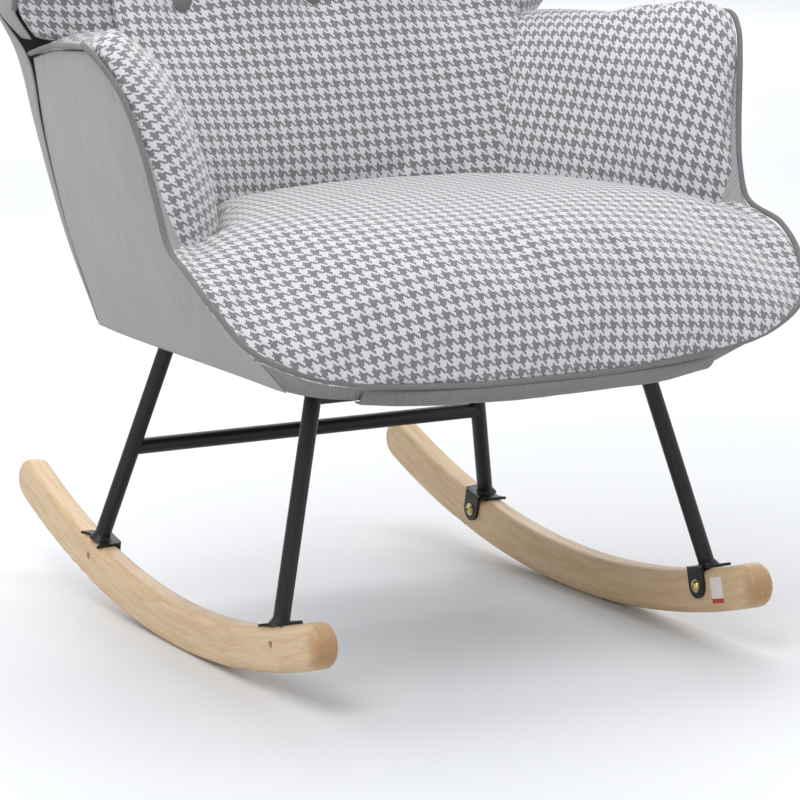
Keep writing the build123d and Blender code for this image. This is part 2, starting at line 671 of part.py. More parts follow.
# Covered buttons on the back pad: a row of three with a row of two above it.
BUTTONS = [(-156, 646), (0, 646), (156, 646), (-80, 772), (80, 772)]
BUTTON_DOME = 20.0
BUTTON_THICKNESS = 7.0
PAD_SLOPE = 0.355


def pad_front_y(x, z):
    """Front face of the back pad."""
    heights = list(BACK_FRONT)
    low = max(h for h in heights if h <= z)
    high = min(h for h in heights if h > z)
    share = (z - low) / (high - low)
    ys = []
    for height in (low, high):
        (x0, y0), (x1, y1), (x2, y2) = BACK_FRONT[height]
        ys.append(y0 + (y1 - y0) * x / x1 if x < x1 else y1 + (y2 - y1) * (x - x1) / (x2 - x1))
    return ys[0] + (ys[1] - ys[0]) * share


buttons = []
for x, z in BUTTONS:
    dome = Location((0, 0, BUTTON_THICKNESS - BUTTON_DOME)) * Sphere(BUTTON_DOME)
    dome = split(dome, bisect_by=Plane.XY, keep=Keep.TOP)
    face = Plane(origin=(x, pad_front_y(abs(x), z) - 2.4, z), z_dir=(0, -1, PAD_SLOPE))
    buttons.append(face.location * dome)
nodes["back_buttons"] = group(buttons)

# Blank paper sticker that marks the front end of the right rocker, on its inner face.
LABEL_SIZE = (20.0, 27.0)
LABEL_SHEET = 0.3
LABEL_Y = -255.0
label_place = rocker_place(LABEL_Y) * Location((INNER_FACE - LABEL_SHEET / 2 - 0.1, 0, -ROCKER_DEPTH / 2))
nodes["rocker_label"] = label_place * Box(LABEL_SHEET, LABEL_SIZE[0], LABEL_SIZE[1])

for name, part in nodes.items():
    part.label = name
    export_step(part, f"parts/{name}.step")
    print(name, round(part.volume / 1000, 1), "cm3")
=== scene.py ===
import json
from math import atan2, cos, pi, radians, sin

import bpy
import numpy as np
from mathutils import Matrix, Vector, noise


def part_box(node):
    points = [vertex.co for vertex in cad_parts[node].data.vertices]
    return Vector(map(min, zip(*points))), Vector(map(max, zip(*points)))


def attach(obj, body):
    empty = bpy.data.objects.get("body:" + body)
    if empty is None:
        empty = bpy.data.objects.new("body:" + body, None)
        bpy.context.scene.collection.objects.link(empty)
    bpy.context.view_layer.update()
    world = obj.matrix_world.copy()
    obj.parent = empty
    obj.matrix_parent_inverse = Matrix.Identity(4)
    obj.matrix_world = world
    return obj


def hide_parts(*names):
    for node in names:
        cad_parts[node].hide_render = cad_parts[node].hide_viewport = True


# Upholstered wing-back rocking chair around its CAD frame. Metres, +Z up, the sitter faces -Y.
# The soft pieces are written out for the +X half and mirrored.

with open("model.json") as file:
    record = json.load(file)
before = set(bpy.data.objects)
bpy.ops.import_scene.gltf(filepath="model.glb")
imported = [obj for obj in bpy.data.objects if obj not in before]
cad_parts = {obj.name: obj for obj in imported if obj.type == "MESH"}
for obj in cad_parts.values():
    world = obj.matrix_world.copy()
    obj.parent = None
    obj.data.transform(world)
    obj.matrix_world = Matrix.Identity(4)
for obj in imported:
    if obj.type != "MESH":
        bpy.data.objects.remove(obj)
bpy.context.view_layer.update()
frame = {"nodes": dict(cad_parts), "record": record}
nodes = frame["nodes"]
floor_contact = Vector(frame["record"]["mounts"][0]["pos_m"])


# ---------------------------------------------------------------- camera

CAMERA_OFFSET = Vector((-1.9293, -3.4453, 0.9913))
CAMERA_TURN = (79.15, 0.0, -29.37)
CAMERA_LENS = 172.9

camera_data = bpy.data.cameras.new("camera")
camera_data.lens = CAMERA_LENS
camera_data.sensor_width = 36.0
camera = bpy.data.objects.new("camera", camera_data)
camera.location = floor_contact + CAMERA_OFFSET
camera.rotation_euler = [radians(angle) for angle in CAMERA_TURN]
bpy.context.scene.collection.objects.link(camera)
bpy.context.scene.camera = camera


# ---------------------------------------------------------------- shader helpers

class Shader:
    """A material under construction, with short calls for its nodes."""

    def __init__(self, name, **fixed):
        self.material = bpy.data.materials.new(name)
        self.material.use_nodes = True
        self.tree = self.material.node_tree
        self.surface = self.tree.nodes["Principled BSDF"]
        for socket, value in fixed.items():
            self.surface.inputs[socket.replace("_", " ")].default_value = value

    def node(self, kind, settings=None, **inputs):
        """Add a node; inputs are numbers, tuples or output sockets, named or by number."""
        made = self.tree.nodes.new(kind)
        for key, value in (settings or {}).items():
            setattr(made, key, value)
        for key, value in inputs.items():
            numbered = key[0] == "i" and key[1:].isdigit()
            socket = made.inputs[int(key[1:])] if numbered else made.inputs[key]
            if isinstance(value, bpy.types.NodeSocket):
                self.tree.links.new(value, socket)
            else:
                socket.default_value = value
        return made

    def math(self, operation, first, second=0.0, third=0.0):
        """One number from up to three."""
        made = self.node("ShaderNodeMath", {"operation": operation}, i0=first, i1=second, i2=third)
        return made.outputs[0]

    def coords(self, kind):
        """Texture coordinates: Object or UV."""
        return self.node("ShaderNodeTexCoord").outputs[kind]

    def scaled(self, vector, scale):
        """Coordinates stretched by three numbers."""
        return self.node("ShaderNodeVectorMath", {"operation": "MULTIPLY"}, i0=vector, i1=scale).outputs[0]

    def noise(self, vector, scale, detail=3.0, roughness=0.5):
        """Noise from 0 to 1."""
        return self.node("ShaderNodeTexNoise", None, Vector=vector, Scale=scale, Detail=detail,
                         Roughness=roughness).outputs[0]

    def ramp(self, value, *stops):
        """Colours along a value, as (position, (r, g, b))."""
        made = self.node("ShaderNodeValToRGB", None, Fac=value)
        elements = made.color_ramp.elements
        while len(elements) < len(stops):
            elements.new(0.5)
        for element, (position, colour) in zip(elements, stops):
            element.position = position
            element.color = (*colour, 1.0)
        return made.outputs[0]

    def remap(self, value, low, high, new_low, new_high):
        """A value from one range carried to another and held there."""
        return self.node("ShaderNodeMapRange", None, i0=value, i1=low, i2=high, i3=new_low,
                         i4=new_high).outputs[0]

    def mix(self, factor, first, second, blend="MIX"):
        """Mix two colours."""
        made = self.node("ShaderNodeMix", {"data_type": "RGBA", "blend_type": blend})
        for index, value in ((0, factor), (6, first), (7, second)):
            if isinstance(value, bpy.types.NodeSocket):
                self.tree.links.new(value, made.inputs[index])
            else:
                made.inputs[index].default_value = value if index == 0 else (*value, 1.0)
        return made.outputs[2]

    def bump(self, height, distance, strength=1.0, normal=None):
        """A bump from a height from 0 to 1, with its depth in metres."""
        made = self.node("ShaderNodeBump", None, Height=height, Distance=distance, Strength=strength)
        if normal is not None:
            self.tree.links.new(normal, made.inputs["Normal"])
        return made.outputs[0]

    def finish(self, colour=None, roughness=None, normal=None):
        """Link what varies over the surface and return the material."""
        for socket, value in (("Base Color", colour), ("Roughness", roughness), ("Normal", normal)):
            if value is not None:
                self.tree.links.new(value, self.surface.inputs[socket])
        return self.material


def grey(level):
    """A neutral colour."""
    return (level, level, level)


# ---------------------------------------------------------------- fabrics

CHECK_REPEAT = 0.0133
CHECK_GREY = (0.165, 0.165, 0.170)
CHECK_WHITE = (0.68, 0.68, 0.695)
THREADS = 8
WANDER = 0.0016
RIB_PITCH = 0.0024


def houndstooth():
    """Four-and-four houndstooth twill; the threads are counted along the cloth's own UV, in metres."""
    s = Shader("houndstooth", Roughness=0.92, Sheen_Weight=0.5, Sheen_Roughness=0.5)
    uv = s.coords("UV")
    wander_across = s.math("MULTIPLY", s.math("SUBTRACT", s.noise(uv, 30.0, 2.0), 0.5), WANDER)
    wander_along = s.math("MULTIPLY", s.math("SUBTRACT", s.noise(uv, 23.0, 2.0), 0.5), WANDER)
    split = s.node("ShaderNodeSeparateXYZ", None, i0=uv)
    across = s.math("ADD", split.outputs[0], wander_across)
    along = s.math("ADD", split.outputs[1], wander_along)
    warp_run = s.math("MULTIPLY", across, THREADS / CHECK_REPEAT)
    weft_run = s.math("MULTIPLY", along, THREADS / CHECK_REPEAT)
    warp = s.math("FLOOR", warp_run)
    weft = s.math("FLOOR", weft_run)
    half = THREADS / 2
    warp_dark = s.math("LESS_THAN", s.math("FLOORED_MODULO", warp, THREADS), half)
    weft_dark = s.math("LESS_THAN", s.math("FLOORED_MODULO", weft, THREADS), half)
    warp_over = s.math("LESS_THAN", s.math("FLOORED_MODULO", s.math("ADD", warp, weft), half), half / 2)
    dark = s.math("ADD", s.math("MULTIPLY", warp_dark, warp_over),
                  s.math("MULTIPLY", weft_dark, s.math("SUBTRACT", 1.0, warp_over)))
    slub = s.noise(s.scaled(uv, (1.0, 6.0, 1.0)), 260.0, 2.0)
    colour = s.mix(dark, CHECK_WHITE, CHECK_GREY)
    colour = s.mix(s.remap(slub, 0.3, 0.7, 0.0, 0.22), colour, grey(0.42))
    warp_round = s.math("PINGPONG", warp_run, 0.5)
    weft_round = s.math("PINGPONG", weft_run, 0.5)
    relief = s.math("ADD", s.math("MULTIPLY", warp_round, warp_over),
                    s.math("MULTIPLY", weft_round, s.math("SUBTRACT", 1.0, warp_over)))
    normal = s.bump(relief, 0.0005, 0.7)
    normal = s.bump(s.noise(uv, 900.0, 2.0), 0.0003, 0.4, normal)
    return s.finish(colour, None, normal)


def ribbed_cloth(name, dark, light):
    """Plain cloth with fine uneven ribs along its V direction."""
    s = Shader(name, Roughness=0.88, Sheen_Weight=0.2, Sheen_Roughness=0.5)
    uv = s.coords("UV")
    split = s.node("ShaderNodeSeparateXYZ", None, i0=uv)
    wander = s.math("MULTIPLY", s.noise(s.scaled(uv, (1.0, 0.25, 1.0)), 55.0, 3.0), 2.4)
    phase = s.math("ADD", s.math("MULTIPLY", split.outputs[0], 2 * pi / RIB_PITCH), wander)
    rib = s.remap(s.math("SINE", phase), -1.0, 1.0, 0.0, 1.0)
    thread = s.noise(s.scaled(uv, (1.0, 0.05, 1.0)), 420.0, 2.0)
    weft = s.noise(s.scaled(uv, (0.15, 1.0, 1.0)), 900.0, 2.0)
    mottle = s.noise(uv, 9.0, 3.0)
    shade = s.math("ADD", s.math("MULTIPLY", rib, 0.42), s.math("MULTIPLY", thread, 0.45))
    shade = s.math("ADD", shade, s.math("MULTIPLY", mottle, 0.25))
    colour = s.ramp(shade, (0.2, dark), (0.85, light))
    normal = s.bump(rib, 0.0006, 0.8)
    normal = s.bump(thread, 0.0004, 0.5, normal)
    normal = s.bump(weft, 0.0002, 0.4, normal)
    return s.finish(colour, None, normal)


def plain_cloth(name, dark, light):
    """Plain woven cloth over object coordinates, for trim and linings."""
    s = Shader(name, Roughness=0.9, Sheen_Weight=0.15, Sheen_Roughness=0.5)
    place = s.coords("Object")
    weave = s.noise(place, 1400.0, 2.0)
    mottle = s.noise(place, 60.0, 3.0)
    colour = s.ramp(s.mix(0.35, weave, mottle), (0.3, dark), (0.7, light))
    normal = s.bump(weave, 0.0004, 0.6)
    return s.finish(colour, None, normal)


# ---------------------------------------------------------------- hard materials

def rocker_wood():
    """Pale bent hardwood with long grain, darker on the end grain at the tips."""
    s = Shader("rocker_wood", Roughness=0.42, Coat_Weight=0.15, Coat_Roughness=0.25)
    place = s.coords("Object")
    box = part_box("rocker_right")
    split = s.node("ShaderNodeSeparateXYZ", None, i0=place)
    # The grain follows the bend: height above the runner's arc, not height above the floor.
    bent = s.math("SUBTRACT", split.outputs[2],
                  s.math("MULTIPLY", s.math("MULTIPLY", split.outputs[1], split.outputs[1]), 0.5))
    along_arc = s.node("ShaderNodeCombineXYZ", None, i0=s.math("MULTIPLY", split.outputs[0], 14.0),
                       i1=s.math("MULTIPLY", split.outputs[1], 1.6),
                       i2=s.math("MULTIPLY", bent, 16.0)).outputs[0]
    broad = s.noise(along_arc, 2.3, 4.0, 0.6)
    fine = s.noise(s.scaled(along_arc, (6.0, 2.0, 7.0)), 5.0, 3.0, 0.6)
    rings = s.math("FRACT", s.math("MULTIPLY", broad, 7.0))
    pore = s.noise(s.scaled(along_arc, (30.0, 6.0, 30.0)), 4.0, 2.0)
    colour = s.ramp(rings, (0.0, (0.64, 0.45, 0.255)), (0.55, (0.70, 0.515, 0.315)),
                    (1.0, (0.59, 0.395, 0.21)))
    colour = s.mix(s.remap(fine, 0.35, 0.75, 0.0, 0.45), colour, (0.56, 0.375, 0.205))
    colour = s.mix(s.remap(pore, 0.6, 0.72, 0.0, 0.35), colour, (0.42, 0.26, 0.13))
    front = s.remap(split.outputs[1], box[0].y + 0.001, box[0].y + 0.020, 1.0, 0.0)
    rear = s.remap(split.outputs[1], box[1].y - 0.014, box[1].y, 0.0, 1.0)
    ends = s.math("MULTIPLY", s.math("MAXIMUM", front, rear), s.remap(fine, 0.2, 0.6, 0.55, 0.95))
    colour = s.mix(ends, colour, (0.36, 0.185, 0.075))
    normal = s.bump(fine, 0.0003, 0.35)
    return s.finish(colour, s.remap(fine, 0.3, 0.7, 0.36, 0.52), normal)


def powder_coat():
    """Satin black powder coat with its fine orange-peel skin."""
    s = Shader("powder_coat", Roughness=0.4, Specular_IOR_Level=0.45)
    place = s.coords("Object")
    peel = s.noise(place, 700.0, 2.0)
    colour = s.ramp(s.noise(place, 25.0, 3.0), (0.3, grey(0.004)), (0.7, grey(0.008)))
    return s.finish(colour, s.remap(s.noise(place, 90.0), 0.3, 0.7, 0.34, 0.48), s.bump(peel, 0.0002, 0.35))


def yellow_zinc():
    """Yellow-passivated zinc with its drifting hue."""
    s = Shader("yellow_zinc", Metallic=1.0)
    place = s.coords("Object")
    colour = s.ramp(s.noise(place, 160.0, 3.0), (0.3, (0.62, 0.46, 0.16)), (0.5, (0.68, 0.58, 0.30)),
                    (0.7, (0.50, 0.47, 0.22)))
    return s.finish(colour, s.remap(s.noise(place, 500.0), 0.3, 0.7, 0.22, 0.4))


def inner_timber(name, dark, light):
    """Sawn timber or ply inside the body."""
    s = Shader(name, Roughness=0.75)
    place = s.coords("Object")
    grain = s.noise(s.scaled(place, (40.0, 4.0, 40.0)), 3.0, 4.0, 0.6)
    return s.finish(s.ramp(grain, (0.3, dark), (0.7, light)), None, s.bump(grain, 0.0004, 0.4))


LABEL_LEAN = 0.263
LABEL_BAR_BELOW = 0.0090


def sticker():
    """Blank matt paper sticker with a red bar at its foot."""
    s = Shader("sticker", Roughness=0.6)
    place = s.coords("Object")
    low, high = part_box("rocker_label")
    split = s.node("ShaderNodeSeparateXYZ", None, i0=place)
    # The label follows the runner, so its own height leans with the runner there.
    height = s.math("ADD", split.outputs[2], s.math("MULTIPLY", split.outputs[1], LABEL_LEAN))
    foot = (low.z + high.z) / 2 + (low.y + high.y) / 2 * LABEL_LEAN - LABEL_BAR_BELOW
    in_bar = s.math("LESS_THAN", height, foot)
    paper = s.ramp(s.noise(place, 300.0), (0.3, (0.78, 0.70, 0.69)), (0.7, (0.84, 0.77, 0.76)))
    return s.finish(s.mix(in_bar, paper, (0.45, 0.045, 0.05)))


def webbing_cloth():
    """Black elastic webbing."""
    s = Shader("webbing", Roughness=0.8)
    place = s.coords("Object")
    ribs = s.noise(place, 800.0, 2.0)
    return s.finish(s.ramp(ribs, (0.3, grey(0.02)), (0.7, grey(0.05))), None, s.bump(ribs, 0.0004, 0.6))


check_cloth = houndstooth()
shell_cloth = ribbed_cloth("shell_cloth", grey(0.24), grey(0.46))
band_cloth = ribbed_cloth("band_cloth", grey(0.15), grey(0.235))
piping_cloth = plain_cloth("piping_cloth", grey(0.13), grey(0.22))
lining_cloth = plain_cloth("lining_cloth", grey(0.04), grey(0.07))

MATERIAL_OF_SLOT = {
    "rocker_wood": rocker_wood(), "black_steel": powder_coat(), "zinc_fastener": yellow_zinc(),
    "frame_timber": inner_timber("frame_timber", (0.42, 0.28, 0.15), (0.60, 0.45, 0.27)),
    "frame_ply": inner_timber("frame_ply", (0.45, 0.31, 0.17), (0.62, 0.47, 0.30)),
    "webbing": webbing_cloth(), "dust_cover": lining_cloth, "label": sticker(),
    "check_fabric": check_cloth, "shell_fabric": shell_cloth, "piping_fabric": piping_cloth,
    "button_fabric": piping_cloth}

for subpart in frame["record"]["subparts"]:
    for slot in nodes[subpart["node"]].material_slots:
        slot.material = MATERIAL_OF_SLOT[subpart["material_slot"]]


# ---------------------------------------------------------------- smooth surfaces

MM = 0.001


def through(values, knots, at):
    """Values given at rising knots, carried smoothly to other places along them."""
    values = np.asarray(values, float)
    slopes = np.gradient(values, knots, axis=0)
    place = np.clip(np.searchsorted(knots, at, side="right") - 1, 0, len(knots) - 2)
    shape = (-1,) + (1,) * (values.ndim - 1)
    width = (knots[place + 1] - knots[place]).reshape(shape)
    t = (at - knots[place]).reshape(shape) / width
    return ((2 * t**3 - 3 * t**2 + 1) * values[place] + (t**3 - 2 * t**2 + t) * width * slopes[place]
            + (3 * t**2 - 2 * t**3) * values[place + 1] + (t**3 - t**2) * width * slopes[place + 1])


def chord_knots(lines):
    """Knots from 0 to 1 by the mean distance between neighbours; lines is (points, lines, 3)."""
    steps = np.linalg.norm(np.diff(lines, axis=0), axis=2).mean(axis=1)
    knots = np.concatenate([[0.0], np.cumsum(steps)])
    return knots / knots[-1]


def surface(net, rows, columns):
    """A fine grid of points over a net of points given in millimetres, as (row, column, xyz)."""
    net = np.array(net, float) * MM
    grid = through(net, chord_knots(net), np.linspace(0, 1, rows))
    turned = grid.transpose(1, 0, 2)
    return through(turned, chord_knots(turned), np.linspace(0, 1, columns)).transpose(1, 0, 2)


def curve(points, count):
    """Evenly spaced points along a smooth curve through points given in millimetres."""
    points = np.array(points, float)[:, None, :] * MM
    dense = through(points, chord_knots(points), np.linspace(0, 1, 20 * len(points)))
    return through(dense, chord_knots(dense), np.linspace(0, 1, count))[:, 0, :]


def both_halves(half):
    """A whole row from its half, which starts on the middle plane."""
    return [(-x, y, z) for x, y, z in reversed(half[1:])] + list(half)


def mirrored(grid):
    """The same grid on the other side, with its columns turned so that it still faces outward."""
    return (grid * np.array([-1.0, 1.0, 1.0]))[:, ::-1]


def grid_normals(grid):
    """Unit normals of a grid, on the side where columns turn anticlockwise into rows."""
    down = np.gradient(grid, axis=0)
    along = np.gradient(grid, axis=1)
    normals = np.cross(along, down)
    return normals / np.maximum(np.linalg.norm(normals, axis=2, keepdims=True), 1e-9)


def border_distance(grid, borders):
    """How far each point is from the nearest of the named borders, along the grid."""
    down = np.linalg.norm(np.diff(grid, axis=0), axis=2)
    along = np.linalg.norm(np.diff(grid, axis=1), axis=2)
    from_first_row = np.vstack([np.zeros((1, grid.shape[1])), np.cumsum(down, axis=0)])
    from_first_column = np.hstack([np.zeros((grid.shape[0], 1)), np.cumsum(along, axis=1)])
    distances = {"first_row": from_first_row, "last_row": from_first_row[-1] - from_first_row,
                 "first_column": from_first_column,
                 "last_column": from_first_column[:, -1:] - from_first_column}
    return np.min([distances[border] for border in borders], axis=0)


BORDERS = ("first_row", "last_row", "first_column", "last_column")


def seam_roll(grid, radius, borders=BORDERS):
    """Round a padded face over into the seams along its borders."""
    inside = np.minimum(border_distance(grid, borders) / radius, 1.0)
    sink = radius * (1.0 - np.sqrt(1.0 - (1.0 - inside) ** 2))
    return grid - grid_normals(grid) * sink[..., None]


EDGE_FADE = 0.02


def unevenness(grid, height, size, seed):
    """Slow hand-made unevenness along the normals, fading out at the borders."""
    heights = np.array([[noise.noise(Vector(point) / size + Vector((seed, 0, 0))) for point in row]
                        for row in grid])
    fade = np.minimum(border_distance(grid, BORDERS) / EDGE_FADE, 1.0)
    return grid + grid_normals(grid) * (heights * fade * height)[..., None]


# ---------------------------------------------------------------- cloth simulation

CLOTH_FRAMES = 18


def new_object(name, mesh):
    """Put a mesh in the scene."""
    made = bpy.data.objects.new(name, mesh)
    bpy.context.scene.collection.objects.link(made)
    return made


def grid_faces(rows, columns):
    """Quads of a grid numbered row by row, facing the side of its normals."""
    return [(r * columns + c, r * columns + c + 1, (r + 1) * columns + c + 1, (r + 1) * columns + c)
            for r in range(rows - 1) for c in range(columns - 1)]


def swollen(name, grid, pressure, most, slack):
    """The grid as cloth held along its borders and pushed out from inside, moved by at most a limit."""
    rows, columns = grid.shape[:2]
    mesh = bpy.data.meshes.new(name + "_cloth")
    mesh.from_pydata(grid.reshape(-1, 3).tolist(), [], grid_faces(rows, columns))
    cloth_object = new_object(name + "_cloth", mesh)
    held = cloth_object.vertex_groups.new(name="held")
    held.add([r * columns + c for r in range(rows) for c in range(columns)
              if r in (0, rows - 1) or c in (0, columns - 1)], 1.0, "REPLACE")
    cloth = cloth_object.modifiers.new("cloth", "CLOTH")
    settings = cloth.settings
    settings.quality = 6
    settings.mass = 0.25
    settings.tension_stiffness = 25.0
    settings.compression_stiffness = 25.0
    settings.shear_stiffness = 12.0
    settings.bending_stiffness = 1.5
    settings.air_damping = 3.0
    settings.vertex_group_mass = "held"
    settings.shrink_min = -slack
    settings.use_pressure = True
    settings.uniform_pressure_force = pressure
    settings.effector_weights.gravity = 0.0
    cloth.collision_settings.use_collision = False
    cloth.point_cache.frame_start = 1
    cloth.point_cache.frame_end = CLOTH_FRAMES
    for step in range(1, CLOTH_FRAMES + 1):
        bpy.context.scene.frame_set(step)
    evaluated = cloth_object.evaluated_get(bpy.context.evaluated_depsgraph_get())
    flat = np.empty(rows * columns * 3)
    evaluated.data.vertices.foreach_get("co", flat)
    moved = flat.reshape(rows, columns, 3) - grid
    reach = np.linalg.norm(moved, axis=2, keepdims=True)
    moved *= most * np.tanh(reach / most) / np.maximum(reach, 1e-9)
    bpy.data.objects.remove(cloth_object)
    bpy.data.meshes.remove(mesh)
    bpy.context.scene.frame_set(1)
    return grid + moved


# ---------------------------------------------------------------- pieces from grids

def rim_sheet(grid, lift):
    """A smooth sheet across a grid's border: the hidden side of a pad."""
    rows, columns = grid.shape[:2]
    v = np.linspace(0, 1, rows)[:, None, None]
    u = np.linspace(0, 1, columns)[None, :, None]
    ruled_down = (1 - v) * grid[:1] + v * grid[-1:]
    ruled_along = (1 - u) * grid[:, :1] + u * grid[:, -1:]
    corners = ((1 - v) * ((1 - u) * grid[0, 0] + u * grid[0, -1])
               + v * ((1 - u) * grid[-1, 0] + u * grid[-1, -1]))
    hump = np.sin(pi * v) * np.sin(pi * u)
    return ruled_down + ruled_along - corners + np.array(lift) * hump


def closed_mesh(name, grid, back):
    """A closed mesh with a grid in front and another behind, which share their border."""
    rows, columns = grid.shape[:2]
    number = np.arange(rows * columns).reshape(rows, columns)
    behind = number.copy()
    behind[1:-1, 1:-1] = rows * columns + np.arange((rows - 2) * (columns - 2)).reshape(rows - 2, -1)
    points = np.vstack([grid.reshape(-1, 3), back[1:-1, 1:-1].reshape(-1, 3)])
    front_faces = grid_faces(rows, columns)
    flat = behind.reshape(-1)
    back_faces = [tuple(int(flat[i]) for i in reversed(face)) for face in front_faces]
    mesh = bpy.data.meshes.new(name)
    mesh.from_pydata(points.tolist(), [], front_faces + back_faces)
    return mesh


def flattened(grid, level_row):
    """The grid laid out flat like a cut panel: metres for each point, with the named row level."""
    rows, columns = grid.shape[:2]
    mesh = bpy.data.meshes.new("panel")
    mesh.from_pydata(grid.reshape(-1, 3).tolist(), [], grid_faces(rows, columns))
    mesh.uv_layers.new(name="cloth")
    panel = new_object("panel", mesh)
    bpy.context.view_layer.objects.active = panel
    bpy.ops.object.mode_set(mode="EDIT")
    bpy.ops.mesh.select_all(action="SELECT")
    bpy.ops.uv.unwrap(method="MINIMUM_STRETCH", margin=0.0)
    bpy.ops.object.mode_set(mode="OBJECT")
    loops = np.empty(len(mesh.loops) * 2)
    mesh.uv_layers["cloth"].uv.foreach_get("vector", loops)
    corners = np.empty(len(mesh.loops), int)
    mesh.loops.foreach_get("vertex_index", corners)
    flat = np.zeros((rows * columns, 2))
    flat[corners] = loops.reshape(-1, 2)
    bpy.data.objects.remove(panel)
    bpy.data.meshes.remove(mesh)
    flat = flat.reshape(rows, columns, 2)
    diagonal = flat[1:, 1:] - flat[:-1, :-1]
    other = flat[:-1, 1:] - flat[1:, :-1]
    flat_area = 0.5 * np.sum(other[..., 0] * diagonal[..., 1] - other[..., 1] * diagonal[..., 0])
    true_area = 0.5 * np.linalg.norm(np.cross(grid[1:, 1:] - grid[:-1, :-1], grid[:-1, 1:] - grid[1:, :-1]),
                                     axis=2).sum()
    if flat_area < 0:
        flat = flat * np.array([-1.0, 1.0])
    flat *= (true_area / abs(flat_area)) ** 0.5
    start, end = flat[level_row, columns // 4], flat[level_row, 3 * columns // 4]
    angle = -atan2(end[1] - start[1], end[0] - start[0])
    turn = np.array([[cos(angle), -sin(angle)], [sin(angle), cos(angle)]])
    return (flat - start) @ turn.T


def lay_cloth(made, grid, level_row):
    """Give a closed piece the flat cloth coordinates of its front, on the front and behind it."""
    mesh = made.data
    rows, columns = grid.shape[:2]
    flat = flattened(grid, level_row)
    at_point = np.vstack([flat.reshape(-1, 2), flat[1:-1, 1:-1].reshape(-1, 2)])
    corners = np.empty(len(mesh.loops), int)
    mesh.loops.foreach_get("vertex_index", corners)
    mesh.uv_layers.new(name="cloth").uv.foreach_set("vector", at_point[corners].reshape(-1))


def shade_smooth(mesh):
    """Smooth shading all over."""
    mesh.polygons.foreach_set("use_smooth", [True] * len(mesh.polygons))


def piece(name, grid, back, material, replaced, level_row):
    """A closed soft piece that rides on the chair and stands for CAD nodes."""
    mesh = closed_mesh(name, grid, back)
    made = new_object(name, mesh)
    lay_cloth(made, grid, level_row)
    mesh.materials.append(material)
    shade_smooth(mesh)
    smoother = made.modifiers.new("smoother", "SUBSURF")
    smoother.levels = 1
    smoother.render_levels = 1
    bpy.context.view_layer.objects.active = made
    bpy.ops.object.modifier_apply(modifier="smoother")
    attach(made, "root")
    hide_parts(*replaced)
    return made


CORD_SIDES = 12


def tube(name, path, radius, material, replaced):
    """A round cord along a path, closed at its ends."""
    path = np.asarray(path)
    ahead = np.gradient(path, axis=0)
    ahead /= np.linalg.norm(ahead, axis=1, keepdims=True)
    sides = CORD_SIDES
    side = np.cross(ahead, (0.0, 0.0, 1.0))
    side /= np.maximum(np.linalg.norm(side, axis=1, keepdims=True), 1e-6)
    rise = np.cross(side, ahead)
    angles = np.arange(sides) * 2 * pi / sides
    rings = [path + radius * (side * cos(angle) + rise * sin(angle)) for angle in angles]
    points = np.stack(rings, axis=1).reshape(-1, 3)
    count = len(path)
    faces = []
    for start in range(0, (count - 1) * sides, sides):
        for k in range(sides):
            after = (k + 1) % sides
            faces.append((start + k, start + after, start + sides + after, start + sides + k))
    faces += [tuple(reversed(range(sides))), tuple(range((count - 1) * sides, count * sides))]
    mesh = bpy.data.meshes.new(name)
    mesh.from_pydata(points.tolist(), [], faces)
    mesh.materials.append(material)
    shade_smooth(mesh)
    made = new_object(name, mesh)
    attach(made, "root")
    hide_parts(*replaced)
    return made


# ---------------------------------------------------------------- lines that shape the body, in millimetres

# Top edge of the grey outer skin, where the piping runs: up the arm from its rear end,
# down the arm's front edge, and round the front of the seat to the middle.
ARM_TOP_LINE = [(300, 232, 592), (312, 158, 606), (334, 75, 615), (355, -20, 623), (374, -67, 627)]
ARM_FRONT_LINE = [(369, -85, 615), (357, -107, 586), (348, -120, 552), (341, -130, 517),
                  (336, -140, 481), (334, -156, 446)]
SEAT_LINE = [(340, -212, 424), (334, -254, 396), (311, -290, 357), (267, -306, 335),
             (211, -310, 321), (110, -317, 312), (0, -320, 310)]
piping_line = ARM_TOP_LINE + ARM_FRONT_LINE + SEAT_LINE
SHELL_BOTTOM_Z = 300
BOTTOM_LINE = [(236, 215), (241, 150), (243, 75), (243, -5), (243, -45),
               (243, -75), (243, -100), (243, -125), (243, -150), (243, -175), (243, -200),
               (242, -228), (236, -250), (222, -272), (200, -287), (170, -296), (95, -306), (0, -310)]
BACK_LEAN = 0.166


def rear_y(z):
    """Rear face of the back at a height."""
    return 215 + BACK_LEAN * (z - 305)


# ---------------------------------------------------------------- seat cushion

# Half rows from the middle to the side, from the back seam over the crown to the piping in front.
SEAT_ROWS = [
    [(0, 112, 441), (60, 108, 441), (124, 92, 441), (158, 80, 440), (184, 66, 438)],
    [(0, 40, 456), (64, 38, 456), (130, 30, 455), (182, 18, 450), (213, 8, 440)],
    [(0, -40, 460), (77, -41, 460), (150, -45, 458), (210, -50, 451), (244, -52, 440)],
    [(0, -120, 460), (84, -119, 460), (166, -117, 457), (232, -112, 450), (276, -106, 438)],
    [(0, -185, 457), (92, -183, 457), (184, -176, 453), (258, -158, 446), (308, -128, 440)],
    [(0, -238, 448), (95, -235, 448), (190, -222, 443), (277, -196, 436), (335, -156, 442)],
    [(0, -282, 429), (98, -278, 429), (198, -262, 424), (284, -236, 414), (343, -212, 422)],
    [(0, -314, 398), (100, -310, 398), (200, -297, 394), (283, -277, 388), (338, -257, 392)],
    [(0, -328, 356), (104, -325, 356), (204, -316, 356), (276, -304, 358), (326, -279, 370)],
    [(0, -323, 304), (110, -320, 306), (211, -313, 315), (267, -309, 329), (312, -293, 351)]]
FRONT_ROLL = 0.005
SIDE_ROLL = 0.024

